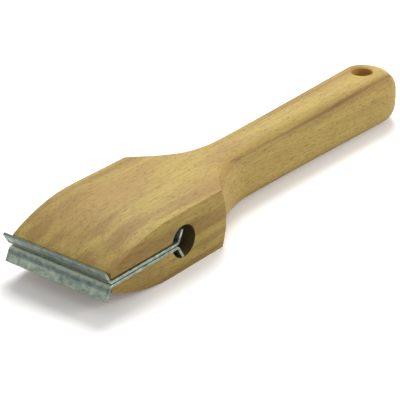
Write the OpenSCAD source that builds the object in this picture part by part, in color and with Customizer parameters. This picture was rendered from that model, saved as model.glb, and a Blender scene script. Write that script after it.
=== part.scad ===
// Hand scraper: a one-piece beech head and handle, with two hooked steel blades
// lying back to back in a sawn slot. The cutting lips stand out at the front of
// the head, and the spare lips of the same blades sit inside a cross hole.
// +X runs from the blades to the tail, +Z is up, and the tool lies flat.
// The origin is under the middle of the whole tool, on the surface it rests on.

/* [Blades] */
// Width of both blades, across the head
blade_w = 65; // [45:1:90]
// Thickness of the blade sheet
sheet_t = 1.4; // [1:0.1:2]
// Length of the flat web between the two bends
web_len = 44; // [34:0.5:54]
// Inner radius of each bend
bend_r = 1.8; // [1:0.1:3]
// Angle of each lip out of the plane of the web
lip_angle = 62; // [50:1:75]
// Straight length of each lip beyond its bend
lip_len = 5.8; // [4:0.1:8]
// Gap between the two webs, back to back
blade_gap = 0.6; // [0.3:0.1:1]
// Distance from the front edge of the wood to the start of the front bend
bend_set = 0.2; // [0:0.1:1]

/* [Head] */
// Thickness of the wooden body
body_t = 31; // [26:0.5:40]
// How far each blade stands past the side of the head
blade_proud = 1; // [0.5:0.1:3]
// Length of the head, from its front edge to the shoulder at mid height
head_len = 83; // [80:1:110]
// Height of the blunt front edge, both jaws together
nose_h = 10; // [8:0.5:14]
// Length over which the head tapers to its front edge
nose_len = 42; // [30:1:60]
// Gap between each web and the wall of the slot
slot_clear = 0.3; // [0.1:0.05:0.5]
// Distance from the end of the web to the centre of the cross hole
hole_set = 6.6; // [5:0.1:9]
// Gap between the spare lips and the wall of the cross hole
hole_clear = 0.2; // [0.1:0.05:1]

/* [Handle] */
// Length of the wooden body
body_len = 268; // [230:1:320]
// Width of the neck, the thinnest place of the handle
neck_w = 27; // [25:0.2:34]
// Length of the coves that run from the shoulders to the neck
cove_len = 44.5; // [36:0.5:55]
// Width of the handle at its rounded tail
tail_w = 34; // [30:0.2:42]
// Radius of the roundover along the handle
round_r = 10; // [6:0.5:12]
// Bulge of the cove face at the shoulder, from mid height to its top edge
cove_bulge = 3.1; // [1:0.1:4]
// Length over which the bulge grows into the full roundover
grow_len = 30; // [15:1:45]
// How much further the top and bottom edges draw in at the very tail
tail_bulge = 3; // [0:0.1:4]
// How late the handle widens towards the tail, 1 for a straight taper
flare_ease = 1.5; // [1:0.1:2]

/* [Hanging hole] */
// Diameter of the hole to hang the tool by
hang_d = 12; // [8:0.5:14]
// Distance from the tail end to the centre of the hanging hole
hang_set = 22; // [18:0.5:30]
// Chamfer that softens the rim at both ends of the hanging hole
hang_rim = 0.6; // [0.3:0.1:1.5]

/* [Hidden] */

// Spare length of a cutting shape, so that it runs clear through the wood
past = 5;
// Length that the head and the handle share where they are joined
lap = 1.5;
// Facets of a circle, of the long curve of a jaw, and steps along each stretch of the handle
circle_fn = 96;
jaw_fn = 360;
bend_steps = 8;
cove_steps = 18;
flare_steps = 8;
tail_steps = 12;
level_steps = 8;

// Blade, measured from the plane midway between the two webs
web_z = blade_gap / 2;
web_end = bend_set + web_len;
bend_mean = bend_r + sheet_t / 2;
lip_out = bend_mean * sin(lip_angle) + lip_len * cos(lip_angle);
tip_z = web_z + sheet_t / 2 + bend_mean * (1 - cos(lip_angle)) + lip_len * sin(lip_angle);
// Half of the lip's end face, along X and along Z
tip_dx = sheet_t / 2 * sin(lip_angle);
tip_dz = sheet_t / 2 * cos(lip_angle);

// Slot and cross hole, which take their size from the blades
slot_h = 2 * (web_z + sheet_t + slot_clear);
hole_x = web_end + hole_set;
lip_reach = max(norm([hole_set - lip_out + tip_dx, tip_z + tip_dz]),
                norm([hole_set - lip_out - tip_dx, tip_z - tip_dz]));
hole_r = lip_reach + hole_clear;

// Head, with jaws curved in side view
half_t = body_t / 2;
head_w = blade_w - 2 * blade_proud;
nose_drop = half_t - nose_h / 2;
nose_r = (nose_len * nose_len + nose_drop * nose_drop) / (2 * nose_drop);

// Handle in plan: cove, flare and round tail
neck_x = head_len + cove_len;
cove_in = (head_w - neck_w) / 2;
cove_r = (cove_len * cove_len + cove_in * cove_in) / (2 * cove_in);
cove_slope = cove_len / (cove_r - cove_in);
tail_r = tail_w / 2;
tail_x = body_len - tail_r;
// Where the cove's top edge meets the side of the head, and where the handle starts
corner_x = head_len - cove_bulge / cove_slope;
handle_x = corner_x - lap;

// The origin, measured from the front edge of the wood
front_x = bend_set - lip_out - tip_dx;
mid_x = (front_x + body_len) / 2;

// Half width of the handle at mid height
function half_width(x) =
    x < head_len ? head_w / 2 + cove_slope * (head_len - x)
    : x < neck_x ? neck_w / 2 + cove_r - sqrt(cove_r * cove_r - pow(neck_x - x, 2))
    : neck_w / 2 + (tail_w - neck_w) / 2 * pow((x - neck_x) / (tail_x - neck_x), flare_ease);

// Share of the full roundover, from 0 at the shoulder to 1 along the handle
function smooth(t) = t * t * (3 - 2 * t);
function round_share(x) = smooth(max(0, min(1, (x - corner_x) / grow_len)));

// Height of a level, and how far it lies inside the outline at mid height
function level_angle(k) = 90 * max(abs(k) - 1, 0) / (level_steps - 1);
function level_z(k) = sign(k) * (half_t - round_r + round_r * sin(level_angle(k)));
function level_drop(x, k) =
    let (share = round_share(x), tail_share = smooth(max(0, min(1, (x - tail_x) / tail_r))))
    ((1 - share) * cove_bulge + tail_share * tail_bulge) * pow(level_z(k) / half_t, 2)
    + share * round_r * (1 - cos(level_angle(k)));

// Stations along one side, as [x, y] and the direction that points out of the wood
function stations() = concat(
    [for (i = [0 : cove_steps])
        let (x = handle_x + (neck_x - handle_x) * i / cove_steps)
        [[x, half_width(x)], [0, 1]]],
    [for (i = [1 : flare_steps - 1])
        let (x = neck_x + (tail_x - neck_x) * i / flare_steps)
        [[x, half_width(x)], [0, 1]]],
    [for (i = [0 : tail_steps])
        let (a = 90 - 90 * i / tail_steps, out = [cos(a), sin(a)])
        [[tail_x, 0] + tail_r * out, out]]);

// Closed outline of the handle at one level
function ring(k, places) =
    let (side = [for (p = places) p[0] - level_drop(p[0][0], k) * p[1]],
         last = len(side) - 2)
    [for (p = side) [p[0], p[1], level_z(k)],
     for (i = [last : -1 : 0]) [side[i][0], -side[i][1], level_z(k)]];

// One face of a hooked lip: round the bend at radius r, then straight to the tip
function bend_point(r, a) = [bend_set - r * sin(a), bend_r + sheet_t - r * cos(a)];
function lip_face(r) = concat(
    [for (i = [0 : bend_steps]) bend_point(r, lip_angle * i / bend_steps)],
    [bend_point(r, lip_angle) + lip_len * [-cos(lip_angle), sin(lip_angle)]]);
function backwards(points) = [for (i = [len(points) - 1 : -1 : 0]) points[i]];

// Outline of one end of the blade, and the same for the other end
front_end = concat(lip_face(bend_r + sheet_t), backwards(lip_face(bend_r)));
rear_end = [for (p = backwards(front_end)) [bend_set + web_end - p[0], p[1]]];

// A flat web with a hooked lip at each end, lips up
module blade() {
    translate([0, 0, half_t + web_z])
        rotate([90, 0, 0]) linear_extrude(blade_w, center = true)
            polygon(concat(front_end, rear_end));
}

module upper_blade() {
    color("lightsteelblue") translate([-mid_x, 0, 0]) blade();
}

// The same blade turned over, lips down
module lower_blade() {
    color("slategray")
        translate([-mid_x, 0, body_t]) mirror([0, 0, 1]) blade();
}

module head() {
    rotate([90, 0, 0]) linear_extrude(head_w, center = true) {
        intersection() {
            translate([nose_len, nose_r - half_t]) circle(r = nose_r, $fn = jaw_fn);
            translate([nose_len, half_t - nose_r]) circle(r = nose_r, $fn = jaw_fn);
            translate([0, -half_t]) square([nose_len, body_t]);
        }
        translate([nose_len, -half_t]) square([handle_x + lap / 2 - nose_len, body_t]);
    }
}

// Flat end of the stack, in strips that join each point of its outline to the mirrored
// point. The outline has n points, and start is the number of the first one.
function cap(n, start) =
    let (half = (n - 1) / 2)
    [for (i = [0 : half - 1])
        let (a = start + i, b = start + n - 1 - i)
        each concat([[a, a + 1, b]], i < half - 1 ? [[a + 1, b - 1, b]] : [])];

// The same faces, seen from the other side
function flipped(faces) = [for (f = faces) [f[0], f[2], f[1]]];

// Coves, flared grip and round tail, as outlines stacked from bottom to top
module handle() {
    places = stations();
    rings = [for (k = [-level_steps : level_steps]) ring(k, places)];
    n = len(rings[0]);
    top = (len(rings) - 1) * n;
    sides = [for (j = [0 : n : top - n], i = [0 : n - 1])
        let (a = j + i, b = j + (i + 1) % n)
        each [[a, b, b + n], [a, b + n, a + n]]];
    intersection() {
        polyhedron([for (r = rings) each r],
                   concat(sides, flipped(cap(n, 0)), cap(n, top)));
        translate([0, -head_w / 2, -half_t - past])
            cube([body_len + past, head_w, body_t + 2 * past]);
    }
}

// Through hole with a chamfered rim at the top and at the bottom
module hanging_hole() {
    cylinder(h = body_t + 2 * past, d = hang_d, center = true, $fn = circle_fn);
    for (turned = [0, 1]) mirror([0, 0, turned])
        translate([0, 0, half_t - hang_rim])
            cylinder(h = hang_rim + past, r1 = hang_d / 2, r2 = hang_d / 2 + hang_rim + past,
                     $fn = circle_fn);
}

module wooden_body() {
    color("burlywood") translate([-mid_x, 0, half_t])
        difference() {
            union() {
                head();
                handle();
            }
            // Sawn slot, from the front edge into the cross hole
            translate([-past, -head_w / 2 - past, -slot_h / 2])
                cube([hole_x + past, head_w + 2 * past, slot_h]);
            // Cross hole for the spare lips
            translate([hole_x, 0, 0]) rotate([90, 0, 0])
                cylinder(h = head_w + 2 * past, r = hole_r, center = true, $fn = circle_fn);
            translate([body_len - hang_set, 0, 0]) hanging_hole();
        }
}

wooden_body();
upper_blade();
lower_blade();
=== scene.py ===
import math

import bmesh
import bpy
from mathutils import Matrix, Vector

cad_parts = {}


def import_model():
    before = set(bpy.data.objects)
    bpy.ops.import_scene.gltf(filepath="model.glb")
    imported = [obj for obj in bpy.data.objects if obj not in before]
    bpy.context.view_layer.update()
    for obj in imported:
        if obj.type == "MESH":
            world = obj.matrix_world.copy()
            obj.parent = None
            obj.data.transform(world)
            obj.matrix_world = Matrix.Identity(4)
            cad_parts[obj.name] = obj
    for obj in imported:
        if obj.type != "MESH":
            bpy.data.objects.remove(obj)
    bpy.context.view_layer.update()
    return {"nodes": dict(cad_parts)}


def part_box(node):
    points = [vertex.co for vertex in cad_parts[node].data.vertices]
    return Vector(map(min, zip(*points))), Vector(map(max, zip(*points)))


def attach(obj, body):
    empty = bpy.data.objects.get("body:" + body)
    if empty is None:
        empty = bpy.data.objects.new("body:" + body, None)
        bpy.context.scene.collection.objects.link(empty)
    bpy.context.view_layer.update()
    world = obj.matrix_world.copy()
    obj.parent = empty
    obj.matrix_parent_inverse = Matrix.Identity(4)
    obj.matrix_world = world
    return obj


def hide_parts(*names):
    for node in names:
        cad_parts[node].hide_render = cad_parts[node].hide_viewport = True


bl_info = {
    "name": "Hand scraper",
    "version": (1, 0, 0),
    "blender": (4, 5, 0),
    "location": "View3D > Sidebar > Scraper",
    "description": "Beech body, hooked blades and stage of a hand scraper",
    "category": "Object",
}

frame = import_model()

# Camera: it aims between the shoulders and the neck of the wood, and the slide shifts it
# across the picture and up it
VIEW_AZIMUTH = math.radians(-49.77)
VIEW_ELEVATION = math.radians(26.57)
VIEW_ROLL = math.radians(-1.55)
VIEW_DISTANCE = 0.7786
VIEW_AIM = Vector((-0.0323, 0, 0.0155))
VIEW_SLIDE = (0.00126, -0.00627)
VIEW_LENS = 138.2
VIEW_SENSOR = 36
VIEW_CLIP = (0.01, 20)

# Stage: half the side of the floor, and the strength of the even light on the tool
FLOOR_REACH = 4.0
EVEN_LIGHT = 0.45
# Floor as the tool's light meets it, as the camera sees it, and its faint glow
FLOOR_UNSEEN = (0.5, 0.48, 0.45)
FLOOR_SEEN = (0.97, 0.96, 0.95)
FLOOR_GLOW = (1, 0.97, 0.93)
FLOOR_GLOW_STRENGTH = 0.14
# Round lamps that point at the origin, each with its place, diameter and power
LAMPS = {"key": ((0.5, 0.4, 1.0), 0.7, 14.5), "fill": ((0.6, -0.9, 0.5), 0.6, 6.0)}

# Edges sharper than this are kept sharp, and those of the wood are eased
SHARP_ANGLE = math.radians(32)
EASING_SEGMENTS = 2
# Burr at the sheared edges of the sheet
BURR_ANGLE = math.radians(60)
BURR_WIDTH = 0.00012
BURR_SEGMENTS = 1
# Points closer than this are one point, and faces within this angle are one face
WELD = 1e-6
FLAT_ANGLE = math.radians(0.5)
# Points of the sheet along its length and across its width
SHEET_POINTS = (181, 27)

# Places in the wood, from its box: front edge, shoulder, and the middle of its height,
# where the blades lie back to back
WOOD_LOW, WOOD_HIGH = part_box("wooden_body")
FRONT_X = WOOD_LOW[0]
SHOULDER_X = FRONT_X + 0.083
MID_HEIGHT = (WOOD_LOW[2] + WOOD_HIGH[2]) / 2

# Beech: cross hole, half the slot that ends in it, and hanging hole with 0.1 mm to spare
CROSS_HOLE_X = FRONT_X + 0.0508
CROSS_HOLE_R = 0.0083
SLOT_HALF = 0.002
HANGING_HOLE_X = WOOD_HIGH[0] - 0.022
HANGING_HOLE_R = 0.0061
# How far painted shade fades around the walls and along the slot, and the brown at the rim
WALL_FADE = 0.0003
SLOT_FADE = 0.002
RIM_FADE = 0.0002
# Painted light on the handle's sides: where it starts along X, and how it fades up to the edge
PAINTED_SIDE_LIGHT_X = (SHOULDER_X - 0.0067, SHOULDER_X + 0.0183)
PAINTED_SIDE_LIGHT_FADE = 0.005
# Dark streak by the top edge of the handle: its line, width, wander and start along X
STREAK_Y = 0.0122
STREAK_Z = WOOD_HIGH[2] - 0.0027
STREAK_EDGE = (0.0017, 0.0004)
STREAK_WANDER = 0.004
STREAK_X = (SHOULDER_X + 0.0133, SHOULDER_X + 0.0483)
# Each noise has its features per metre along X, Y and Z, its shift, detail and roughness
WANDER_NOISE = ((14, 30, 30), (0, 0, 0), 2.0, 0.5)
RING_NOISE = ((6, 130, 150), (3, 0, 0), 3.0, 0.5)
BLUSH_NOISE = ((16, 45, 45), (7, 2, 1), 1.0, 0.5)
FIBRE_NOISE = ((45, 1500, 1500), (1, 5, 2), 3.0, 0.6)
STREAK_NOISE = ((22, 420, 420), (4, 1, 6), 2.0, 0.5)
FLECK_NOISE = ((330, 1700, 1700), (9, 3, 5), 1.0, 0.5)
LONG_FLECK_NOISE = ((110, 1100, 1100), (2, 8, 3), 1.0, 0.5)
# Values of a noise between which the feature that it draws appears
BAND_EDGE = (0.54, 0.76)
BLUSH_EDGE = (0.42, 0.7)
FLECK_EDGE = (0.55, 0.68)
LONG_FLECK_EDGE = (0.60, 0.72)
# How far a feature takes the colour along to its own
BLUSH_SHARE = 0.6
# Painted light on the handle's sides
PAINTED_SIDE_LIGHT_SHARE = 0.55
FLECK_SHARE = 0.50
LONG_FLECK_SHARE = 0.32
# Painted shade in the cross hole and the slot
HOLE_SHADE_SHARE = 0.85
BROWN_SHARE = 0.8
# Strength and depth of the fibres and flecks in the surface
WOOD_BUMP = (0.25, 0.0002)

# Plating, with its noises, edges and shares as above
BLOTCH_NOISE = ((330, 330, 330), (0, 0, 0), 3.0, 0.65)
LINE_NOISE = ((900, 30, 900), (0, 0, 0), 2.0, 0.5)
WORN_NOISE = ((300, 120, 300), (5, 1, 2), 2.0, 0.5)
SPANGLES_PER_METRE = 520.0
BLOTCH_EDGE = (0.35, 0.7)
WORN_EDGE = (0.55, 0.75)
WORN_SHARE = 0.45
# Shares of the painted shade on the bends and of the darker sheared tips
BENT_SHARE = 0.55
SHEARED_SHARE = 0.7
# Share of the painted highlight on the front bends
PAINTED_HIGHLIGHT_SHARE = 0.6
# Distances from mid height between which it changes: where the painted shade on the bends starts
# and where it ends, at the darker sheared tips of the lips, and where the painted highlight lies
# on the outside of the front bends
BEND_START = (0.0014, 0.0021)
BEND_END = (0.0040, 0.0030)
SHEARED_TIP = (0.0070, 0.0074)
PAINTED_HIGHLIGHT_BEND = (0.0013, 0.0009)
# Where the painted highlight starts along X, beside the front bends' start, and where it is full
PAINTED_HIGHLIGHT_X = (FRONT_X + 0.0005, FRONT_X - 0.0003)
# Strength and depth of the rolling lines and blotches
PLATING_BUMP = (0.15, 0.0001)


class Field:
    """A socket of a node tree, with Python's operators as Math nodes."""

    def __init__(self, maker, socket):
        self.maker = maker
        self.socket = socket

    def _math(self, operation, *values):
        return self.maker.node("ShaderNodeMath", {"operation": operation},
                               dict(enumerate(values)))

    def __add__(self, other):
        return self._math("ADD", self, other)

    __radd__ = __add__

    def __sub__(self, other):
        return self._math("SUBTRACT", self, other)

    def __rsub__(self, other):
        return self._math("SUBTRACT", other, self)

    def __mul__(self, other):
        return self._math("MULTIPLY", self, other)

    __rmul__ = __mul__

    def __truediv__(self, other):
        return self._math("DIVIDE", self, other)

    def __pow__(self, other):
        return self._math("POWER", self, other)

    def __abs__(self):
        return self._math("ABSOLUTE", self)

    def at_least(self, other):
        return self._math("MAXIMUM", self, other)

    def at_most(self, other):
        return self._math("MINIMUM", self, other)

    def sign(self):
        return self._math("SIGN", self)

    def sine(self):
        return self._math("SINE", self)

    def cosine(self):
        return self._math("COSINE", self)


class Maker:
    """Adds nodes to one tree and hands their outputs back as fields."""

    def __init__(self, tree):
        self.tree = tree

    def node(self, kind, settings=None, values=None, output=0):
        """A node with its settings, then the values or links of its inputs."""
        made = self.tree.nodes.new(kind)
        for name, value in (settings or {}).items():
            setattr(made, name, value)
        for name, value in (values or {}).items():
            self._feed(made.inputs[name], value)
        return Field(self, made.outputs[output]) if made.outputs else None

    def _feed(self, socket, value):
        """Give a socket its value, its link, or all the links in a list."""
        if isinstance(value, list):
            for each in value:
                self._feed(socket, each)
        elif isinstance(value, Field):
            self.tree.links.new(value.socket, socket)
        elif socket.type == "RGBA":
            socket.default_value = (*value, 1.0)
        else:
            socket.default_value = value

    def outputs(self, kind, names, values=None):
        """Several outputs of one new node, by name."""
        made = self.node(kind, None, values).socket.node
        return [Field(self, made.outputs[name]) for name in names]

    def split(self, place):
        """The three coordinates of a place."""
        return self.outputs("ShaderNodeSeparateXYZ", "XYZ", {"Vector": place})

    def mix(self, share, first, second, blend="MIX"):
        """A mix of two colours, for which the node has its inputs 6 and 7 and output 2."""
        settings = {"data_type": "RGBA", "blend_type": blend}
        return self.node("ShaderNodeMix", settings, {0: share, 6: first, 7: second}, output=2)

    def shaded(self, colour, shade):
        """The colour times a number, which may be a little above 1."""
        grey = self.node("ShaderNodeCombineColor", None,
                         {"Red": shade, "Green": shade, "Blue": shade})
        return self.mix(1.0, colour, grey, "MULTIPLY")

    def ramp(self, value, low, high):
        """From 0 at low to 1 at high, smoothly."""
        return self.node("ShaderNodeMapRange", {"interpolation_type": "SMOOTHSTEP"},
                         {"Value": value, "From Min": low, "From Max": high})

    def noise(self, place, stretch, shift, detail, rough):
        """Noise with as many features per metre along X, Y and Z as stretch says."""
        mapped = self.node("ShaderNodeMapping", None,
                           {"Vector": place, "Location": shift, "Scale": stretch})
        values = {"Vector": mapped, "Scale": 1.0, "Detail": detail, "Roughness": rough}
        return self.node("ShaderNodeTexNoise", None, values)

    def bump(self, height, strength, distance):
        """A normal that leans as if the surface had that height."""
        values = {"Height": height, "Strength": strength, "Distance": distance}
        return self.node("ShaderNodeBump", None, values)


def new_material(name):
    """An empty material and the maker of its nodes."""
    material = bpy.data.materials.new(name)
    material.use_nodes = True
    material.node_tree.nodes.clear()
    return material, Maker(material.node_tree)


def finish_material(maker, values):
    """The surface shader with its values, as what the material shows."""
    shader = maker.node("ShaderNodeBsdfPrincipled", None, values)
    maker.node("ShaderNodeOutputMaterial", None, {"Surface": shader})


def beech(wood):
    """Flat-sawn beech with fine fibres along X, short dark flecks and broad figure."""
    material, maker = new_material("beech")
    place = maker.node("ShaderNodeTexCoord", output="Object")
    x, y, z = maker.split(place)
    # Broad bands of the growth rings, which run along the tool and wander a little
    wander = maker.noise(place, *WANDER_NOISE)
    rings = maker.noise(place, *RING_NOISE)
    bands = maker.ramp(rings + 0.25 * wander, *BAND_EDGE)
    blush = maker.ramp(maker.noise(place, *BLUSH_NOISE), *BLUSH_EDGE)
    fibre = maker.noise(place, *FIBRE_NOISE)
    streak = maker.noise(place, *STREAK_NOISE)
    fleck = maker.ramp(maker.noise(place, *FLECK_NOISE), *FLECK_EDGE)
    long_fleck = maker.ramp(maker.noise(place, *LONG_FLECK_NOISE), *LONG_FLECK_EDGE)
    colour = maker.mix(bands, wood.light, wood.dark)
    colour = maker.mix(blush * BLUSH_SHARE, colour, wood.blush)
    # Painted light: below its top edge, the handle's side is paler than its top
    painted_side_light = maker.ramp(x, *PAINTED_SIDE_LIGHT_X) * maker.ramp(z, STREAK_Z, STREAK_Z - PAINTED_SIDE_LIGHT_FADE)
    colour = maker.mix(painted_side_light * PAINTED_SIDE_LIGHT_SHARE, colour, wood.painted_side_light)
    colour = maker.shaded(colour, 0.54 + 0.54 * fibre + 0.32 * streak)
    colour = maker.mix(fleck * FLECK_SHARE * wood.flecks, colour, wood.fleck)
    colour = maker.mix(long_fleck * LONG_FLECK_SHARE * wood.flecks, colour, wood.fleck)
    # A dark streak runs along that edge, and wanders with the rings
    off_line = y + STREAK_Y + STREAK_WANDER * (wander - 0.5)
    from_streak = (off_line ** 2 + (z - STREAK_Z) ** 2) ** 0.5
    edge_streak = maker.ramp(from_streak, *STREAK_EDGE) * maker.ramp(x, *STREAK_X)
    colour = maker.mix(edge_streak * (0.45 + 0.6 * streak), colour, wood.fleck)
    # Painted shade darkens the cross hole and the slot; bare end grain browns in the hanging hole
    from_cross = ((x - CROSS_HOLE_X) ** 2 + (z - MID_HEIGHT) ** 2) ** 0.5
    from_hang = ((x - HANGING_HOLE_X) ** 2 + y ** 2) ** 0.5
    slot_shade = maker.ramp(abs(z - MID_HEIGHT), SLOT_HALF + WALL_FADE, SLOT_HALF)
    slot_shade = slot_shade * maker.ramp(x, CROSS_HOLE_X, CROSS_HOLE_X - SLOT_FADE)
    cross_hole_shade = maker.ramp(from_cross, CROSS_HOLE_R + WALL_FADE, CROSS_HOLE_R)
    in_hang = maker.ramp(from_hang, HANGING_HOLE_R + RIM_FADE, HANGING_HOLE_R)
    colour = maker.mix(cross_hole_shade.at_least(slot_shade) * HOLE_SHADE_SHARE, colour, wood.inside)
    colour = maker.mix(in_hang * BROWN_SHARE, colour, wood.brown)
    height = fibre * 0.4 - fleck * 0.8 - long_fleck * 0.5
    finish_material(maker, {
        "Base Color": colour, "Roughness": 0.52 + 0.14 * fibre + 0.10 * fleck,
        "Normal": maker.bump(height, *WOOD_BUMP), "Specular IOR Level": 0.22})
    return material


def zinc_steel(blade):
    """Rolled steel sheet with a zinc plating of small thickness: soft blotches, fine lines,
    painted shade on the bends and a painted highlight on the front bends.
    """
    material, maker = new_material("zinc_plated_steel")
    place = maker.node("ShaderNodeTexCoord", output="Object")
    x, _, z = maker.split(place)
    blotch = maker.noise(place, *BLOTCH_NOISE)
    spangle = maker.node("ShaderNodeTexVoronoi", {"feature": "F1"},
                         {"Vector": place, "Scale": SPANGLES_PER_METRE}, output="Color")
    pale = maker.node("ShaderNodeRGBToBW", None, {"Color": spangle})
    lines = maker.noise(place, *LINE_NOISE)
    worn = maker.ramp(maker.noise(place, *WORN_NOISE), *WORN_EDGE)
    colour = maker.mix(maker.ramp(blotch, *BLOTCH_EDGE), blade.light, blade.dark)
    colour = maker.shaded(colour, 0.66 + 0.42 * pale + 0.22 * lines)
    colour = maker.mix(worn * WORN_SHARE, colour, blade.tarnish_and_shade)
    # Painted shade darkens a band on each bend, and the sheared tips of the lips are darker
    off_level = abs(z - MID_HEIGHT)
    bent = maker.ramp(off_level, *BEND_START) * maker.ramp(off_level, *BEND_END)
    sheared = maker.ramp(off_level, *SHEARED_TIP)
    bend_shade_and_dark_tips = (bent * BENT_SHARE).at_least(sheared * SHEARED_SHARE)
    colour = maker.mix(bend_shade_and_dark_tips, colour, blade.tarnish_and_shade)
    # Painted highlight on the outside of the front bends
    painted_highlight = maker.ramp(off_level, *PAINTED_HIGHLIGHT_BEND) * maker.ramp(x, *PAINTED_HIGHLIGHT_X)
    colour = maker.mix(painted_highlight * PAINTED_HIGHLIGHT_SHARE, colour, blade.highlight_colour)
    finish_material(maker, {
        "Base Color": colour, "Metallic": 0.75, "Roughness": 0.34 + 0.20 * blotch + 0.12 * worn,
        "Normal": maker.bump(lines + 0.5 * blotch, *PLATING_BUMP)})
    return material


class WoodLooks(bpy.types.PropertyGroup):
    """Colours of the wood and its sanded edges."""
    light: bpy.props.FloatVectorProperty(
        name="Light", description="Colour of the early wood", subtype="COLOR",
        size=3, min=0, max=1, default=(0.415, 0.300, 0.080))
    dark: bpy.props.FloatVectorProperty(
        name="Dark", description="Colour of the figure's bands", subtype="COLOR",
        size=3, min=0, max=1, default=(0.305, 0.195, 0.054))
    blush: bpy.props.FloatVectorProperty(
        name="Blush", description="Pinkish tint of the heartwood", subtype="COLOR",
        size=3, min=0, max=1, default=(0.34, 0.205, 0.064))
    # Painted light on the handle's sides, which makes them paler than the top
    painted_side_light: bpy.props.FloatVectorProperty(
        name="Side_light", description="Colour of the painted_light on the handle's sides", subtype="COLOR",
        size=3, min=0, max=1, default=(0.56, 0.41, 0.125))
    fleck: bpy.props.FloatVectorProperty(
        name="Fleck", description="Colour of the flecks and the dark streak", subtype="COLOR",
        size=3, min=0, max=1, default=(0.15, 0.08, 0.025))
    # Colour of the painted shade on the walls of the slot and the cross hole
    inside: bpy.props.FloatVectorProperty(
        name="Inside", description="Colour of the slot's and cross hole's walls", subtype="COLOR",
        size=3, min=0, max=1, default=(0.045, 0.030, 0.014))
    brown: bpy.props.FloatVectorProperty(
        name="Brown", description="Colour of the hanging hole's wall", subtype="COLOR",
        size=3, min=0, max=1, default=(0.50, 0.26, 0.06))
    flecks: bpy.props.FloatProperty(
        name="Flecks", description="How strongly the flecks show", subtype="FACTOR",
        min=0, max=1, default=0.8)
    easing: bpy.props.FloatProperty(
        name="Easing", description="Width of the sanded edges", unit="LENGTH",
        min=0, max=0.001, default=0.0004)


class BladeLooks(bpy.types.PropertyGroup):
    """Sizes and colours of the hooked blades."""
    web: bpy.props.FloatProperty(
        name="Web", description="Length of the flat web between the bends",
        unit="LENGTH", min=0.02, max=0.08, default=0.044)
    thickness: bpy.props.FloatProperty(
        name="Thickness", description="Thickness of the sheet", unit="LENGTH",
        min=0.0005, max=0.003, default=0.0014)
    bend: bpy.props.FloatProperty(
        name="Bend", description="Inner radius of the bends", unit="LENGTH",
        min=0.0005, max=0.005, default=0.0018)
    angle: bpy.props.FloatProperty(
        name="Angle", description="Angle of each lip out of the web", subtype="ANGLE",
        min=0.1, max=1.5, default=math.radians(62))
    lip: bpy.props.FloatProperty(
        name="Lip", description="Straight length of each lip", unit="LENGTH",
        min=0.002, max=0.02, default=0.0058)
    light: bpy.props.FloatVectorProperty(
        name="Light", description="Colour of clean plating", subtype="COLOR",
        size=3, min=0, max=1, default=(0.33, 0.385, 0.30))
    dark: bpy.props.FloatVectorProperty(
        name="Dark", description="Colour of dull plating", subtype="COLOR",
        size=3, min=0, max=1, default=(0.19, 0.24, 0.21))
    # Colour of the painted highlight on the outside of the front bends
    highlight_colour: bpy.props.FloatVectorProperty(
        name="Highlight", description="Colour of the rubbed bends", subtype="COLOR",
        size=3, min=0, max=1, default=(0.62, 0.67, 0.56))
    # Colour of worn patches, of the painted shade on the bends and of the darker sheared tips
    tarnish_and_shade: bpy.props.FloatVectorProperty(
        name="Tarnish_and_shade", description="Colour of worn patches, bends and sheared tips",
        subtype="COLOR", size=3, min=0, max=1, default=(0.05, 0.08, 0.085))


def in_scene(name, data):
    """A new object in the scene, at the origin."""
    made = bpy.data.objects.new(name, data)
    bpy.context.scene.collection.objects.link(made)
    return made


def finished_piece(name, mesh, material):
    """A smooth-shaded piece of that material, with its sharp edges kept sharp."""
    mesh.materials.clear()
    mesh.materials.append(material)
    mesh.shade_smooth()
    mesh.set_sharp_from_angle(angle=SHARP_ANGLE)
    return in_scene(name, mesh)


def made_plain(worker, name):
    """The evaluated object's mesh as a plain one. The worker object is removed."""
    graph = bpy.context.evaluated_depsgraph_get()
    mesh = bpy.data.meshes.new_from_object(worker.evaluated_get(graph))
    mesh.name = name
    bpy.data.objects.remove(worker)
    return mesh


def ease_edges(worker, angle, width, segments):
    """A bevel on the edges that are sharper than the angle."""
    bevel = worker.modifiers.new("Edges", "BEVEL")
    bevel.limit_method = "ANGLE"
    bevel.angle_limit = angle
    bevel.width = width
    bevel.segments = segments


class SCRAPER_OT_wooden_body(bpy.types.Operator):
    """Dress the wooden body: merged faces, eased edges and beech"""
    bl_idname = "scraper.wooden_body"
    bl_label = "Wooden body"

    def execute(self, context):
        wood = context.scene.scraper_wood
        mesh = frame["nodes"]["wooden_body"].data.copy()
        shape = bmesh.new()
        shape.from_mesh(mesh)
        bmesh.ops.remove_doubles(shape, verts=shape.verts, dist=WELD)
        bmesh.ops.dissolve_limit(shape, angle_limit=FLAT_ANGLE,
                                 verts=shape.verts, edges=shape.edges)
        shape.to_mesh(mesh)
        shape.free()
        worker = in_scene("eased_body", mesh)
        ease_edges(worker, SHARP_ANGLE, wood.easing, EASING_SEGMENTS)
        piece = finished_piece("beech_body", made_plain(worker, "beech_body"), beech(wood))
        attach(piece, "wooden_body")
        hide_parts("wooden_body")
        return {"FINISHED"}


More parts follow.
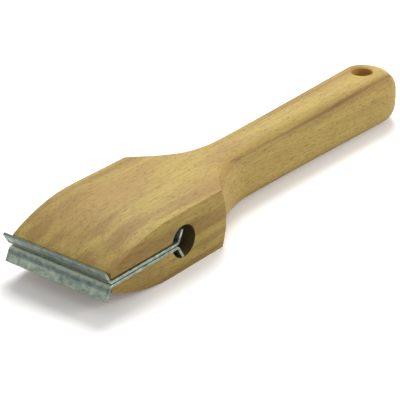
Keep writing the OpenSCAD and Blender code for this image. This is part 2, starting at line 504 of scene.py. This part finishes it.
def blade_tree():
    """Nodes that bend a flat sheet into a web with a lip at each end, lips up."""
    tree = bpy.data.node_groups.new("hooked_blade", "GeometryNodeTree")
    kinds = {"Width": "Float", "Web": "Float", "Thickness": "Float", "Bend": "Float",
             "Angle": "Float", "Lip": "Float", "Material": "Material"}
    for name, kind in kinds.items():
        tree.interface.new_socket(name, in_out="INPUT", socket_type="NodeSocket" + kind)
    tree.interface.new_socket("Geometry", in_out="OUTPUT", socket_type="NodeSocketGeometry")
    maker = Maker(tree)
    width, web, thickness, bend, angle, lip, material = maker.outputs("NodeGroupInput", kinds)

    # The sheet's lower face follows the outer side of each bend
    radius = bend + thickness
    arc = radius * angle
    length = web + 2 * arc + 2 * lip
    columns, rows = SHEET_POINTS
    flat = maker.node("GeometryNodeMeshGrid", None, {
        "Size X": length, "Size Y": width, "Vertices X": columns, "Vertices Y": rows})
    along, y, _ = maker.split(maker.node("GeometryNodeInputPosition"))

    # Each point's way along the sheet is spent on the web, then the bend, then the lip
    beyond = (abs(along) - web / 2).at_least(0)
    turn = beyond.at_most(arc) / radius
    straight = (beyond - arc).at_least(0)
    on_web = abs(along).at_most(web / 2)
    x = along.sign() * (on_web + radius * turn.sine() + straight * angle.cosine())
    height = radius * (1 - turn.cosine()) + straight * angle.sine()
    moved = maker.node("ShaderNodeCombineXYZ", None, {"X": x, "Y": y, "Z": height})
    sheet = maker.node("GeometryNodeSetPosition", None, {"Geometry": flat, "Position": moved})

    # Upper face and edges are extruded from the lower face, which then closes the shell
    flipped = maker.node("GeometryNodeFlipFaces", None, {"Mesh": sheet})
    raised = maker.node("GeometryNodeExtrudeMesh", {"mode": "FACES"},
                        {"Mesh": sheet, "Offset Scale": thickness, "Individual": False})
    joined = maker.node("GeometryNodeJoinGeometry", None, {"Geometry": [raised, flipped]})
    closed = maker.node("GeometryNodeMergeByDistance", None,
                        {"Geometry": joined, "Distance": WELD})
    real = maker.node("GeometryNodeRealizeInstances", None, {"Geometry": closed})
    dressed = maker.node("GeometryNodeSetMaterial", None,
                         {"Geometry": real, "Material": material})
    maker.node("NodeGroupOutput", None, {"Geometry": dressed})
    return tree


def bent_sheet(tree, looks, steel, name, width):
    """The mesh of one blade, lips up, with its web's lower face on the floor."""
    worker = in_scene(name, bpy.data.meshes.new(name))
    nodes = worker.modifiers.new("Sheet", "NODES")
    nodes.node_group = tree
    sizes = {"Width": width, "Web": looks.web, "Thickness": looks.thickness,
             "Bend": looks.bend, "Angle": looks.angle, "Lip": looks.lip, "Material": steel}
    for item in tree.interface.items_tree:
        if item.in_out == "INPUT":
            nodes[item.identifier] = sizes[item.name]
    ease_edges(worker, BURR_ANGLE, BURR_WIDTH, BURR_SEGMENTS)
    return made_plain(worker, name)


class SCRAPER_OT_blades(bpy.types.Operator):
    """Bend the two hooked blades from flat sheet and lay them back to back"""
    bl_idname = "scraper.blades"
    bl_label = "Blades"

    def execute(self, context):
        looks = context.scene.scraper_blade
        tree = blade_tree()
        steel = zinc_steel(looks)
        # The upper blade's lips point up, and the lower one is the same turned over
        for node, turned in (("upper_blade", False), ("lower_blade", True)):
            low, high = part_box(node)
            mesh = bent_sheet(tree, looks, steel, node, high[1] - low[1])
            if turned:
                mesh.transform(Matrix.Rotation(math.pi, 4, "X"))
            back_face = high[2] if turned else low[2]
            mesh.transform(Matrix.Translation(((low[0] + high[0]) / 2, 0, back_face)))
            piece = finished_piece(node + "_steel", mesh, steel)
            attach(piece, node)
            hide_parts(node)
        return {"FINISHED"}


def camera():
    """The camera at the photograph's angle."""
    back = Vector((math.sin(VIEW_AZIMUTH) * math.cos(VIEW_ELEVATION),
                   -math.cos(VIEW_AZIMUTH) * math.cos(VIEW_ELEVATION),
                   math.sin(VIEW_ELEVATION)))
    right = Vector((0, 0, 1)).cross(back).normalized()
    up = back.cross(right)
    across = right * math.cos(VIEW_ROLL) + up * math.sin(VIEW_ROLL)
    upward = up * math.cos(VIEW_ROLL) - right * math.sin(VIEW_ROLL)
    data = bpy.data.cameras.new("camera")
    data.lens = VIEW_LENS
    data.sensor_width = VIEW_SENSOR
    data.clip_start, data.clip_end = VIEW_CLIP
    made = in_scene("camera", data)
    place = VIEW_AIM + back * VIEW_DISTANCE + across * VIEW_SLIDE[0] + upward * VIEW_SLIDE[1]
    turn = Matrix((across, upward, back)).transposed().to_4x4()
    made.matrix_world = Matrix.Translation(place) @ turn
    bpy.context.scene.camera = made


def lamp(name, place, size, power):
    """A round lamp that points at the origin."""
    data = bpy.data.lights.new(name, "AREA")
    data.shape = "DISK"
    data.size = size
    data.energy = power
    made = in_scene(name, data)
    made.location = place
    made.rotation_euler = (-Vector(place)).to_track_quat("-Z", "Y").to_euler()


def seen_rays(maker):
    """1 for what the camera and mirrors see, and 0 for light that falls on the tool."""
    seen = maker.outputs("ShaderNodeLightPath",
                         ("Is Camera Ray", "Is Glossy Ray", "Is Transmission Ray"))
    return (seen[0] + seen[1] + seen[2]).at_most(1.0)


def world():
    """Even light, which the camera and mirrors see as white."""
    made = bpy.data.worlds.new("studio")
    made.use_nodes = True
    made.node_tree.nodes.clear()
    maker = Maker(made.node_tree)
    strength = EVEN_LIGHT + seen_rays(maker) * (1.0 - EVEN_LIGHT)
    light = maker.node("ShaderNodeBackground", None,
                       {"Color": (1, 1, 1), "Strength": strength})
    maker.node("ShaderNodeOutputWorld", None, {"Surface": light})
    bpy.context.scene.world = made


def paper():
    """Matt paper, which is pale to the camera and throws less light on the tool."""
    material, maker = new_material("paper")
    seen = seen_rays(maker)
    finish_material(maker, {
        "Base Color": maker.mix(seen, FLOOR_UNSEEN, FLOOR_SEEN),
        "Emission Color": maker.mix(seen, (0, 0, 0), FLOOR_GLOW),
        "Emission Strength": FLOOR_GLOW_STRENGTH, "Roughness": 0.9,
        "Specular IOR Level": 0.1})
    return material


class SCRAPER_OT_stage(bpy.types.Operator):
    """Set up the pale floor, the soft light and the camera"""
    bl_idname = "scraper.stage"
    bl_label = "Stage"

    def execute(self, context):
        context.scene.view_settings.view_transform = "Standard"
        reach = FLOOR_REACH
        mesh = bpy.data.meshes.new("floor")
        mesh.from_pydata([(-reach, -reach, 0), (reach, -reach, 0), (reach, reach, 0),
                          (-reach, reach, 0)], [], [(0, 1, 2, 3)])
        mesh.materials.append(paper())
        floor = in_scene("floor", mesh)
        world()
        for name, (place, size, power) in LAMPS.items():
            lamp(name, place, size, power)
        camera()
        return {"FINISHED"}


class VIEW3D_PT_scraper(bpy.types.Panel):
    """Sizes, colours and steps of the hand scraper"""
    bl_label = "Hand scraper"
    bl_space_type = "VIEW_3D"
    bl_region_type = "UI"
    bl_category = "Scraper"

    def draw(self, context):
        layout = self.layout
        for operator in OPERATORS:
            layout.operator(operator.bl_idname)
        for group in (context.scene.scraper_wood, context.scene.scraper_blade):
            for name in group.bl_rna.properties.keys():
                if name not in ("rna_type", "name"):
                    layout.prop(group, name)


OPERATORS = (SCRAPER_OT_wooden_body, SCRAPER_OT_blades, SCRAPER_OT_stage)
CLASSES = (WoodLooks, BladeLooks, *OPERATORS, VIEW3D_PT_scraper)


def register():
    for made in CLASSES:
        bpy.utils.register_class(made)
    bpy.types.Scene.scraper_wood = bpy.props.PointerProperty(type=WoodLooks)
    bpy.types.Scene.scraper_blade = bpy.props.PointerProperty(type=BladeLooks)


def unregister():
    del bpy.types.Scene.scraper_blade
    del bpy.types.Scene.scraper_wood
    for made in reversed(CLASSES):
        bpy.utils.unregister_class(made)


def main():
    register()
    bpy.ops.scraper.wooden_body()
    bpy.ops.scraper.blades()
    bpy.ops.scraper.stage()


if __name__ == "__main__":
    main()
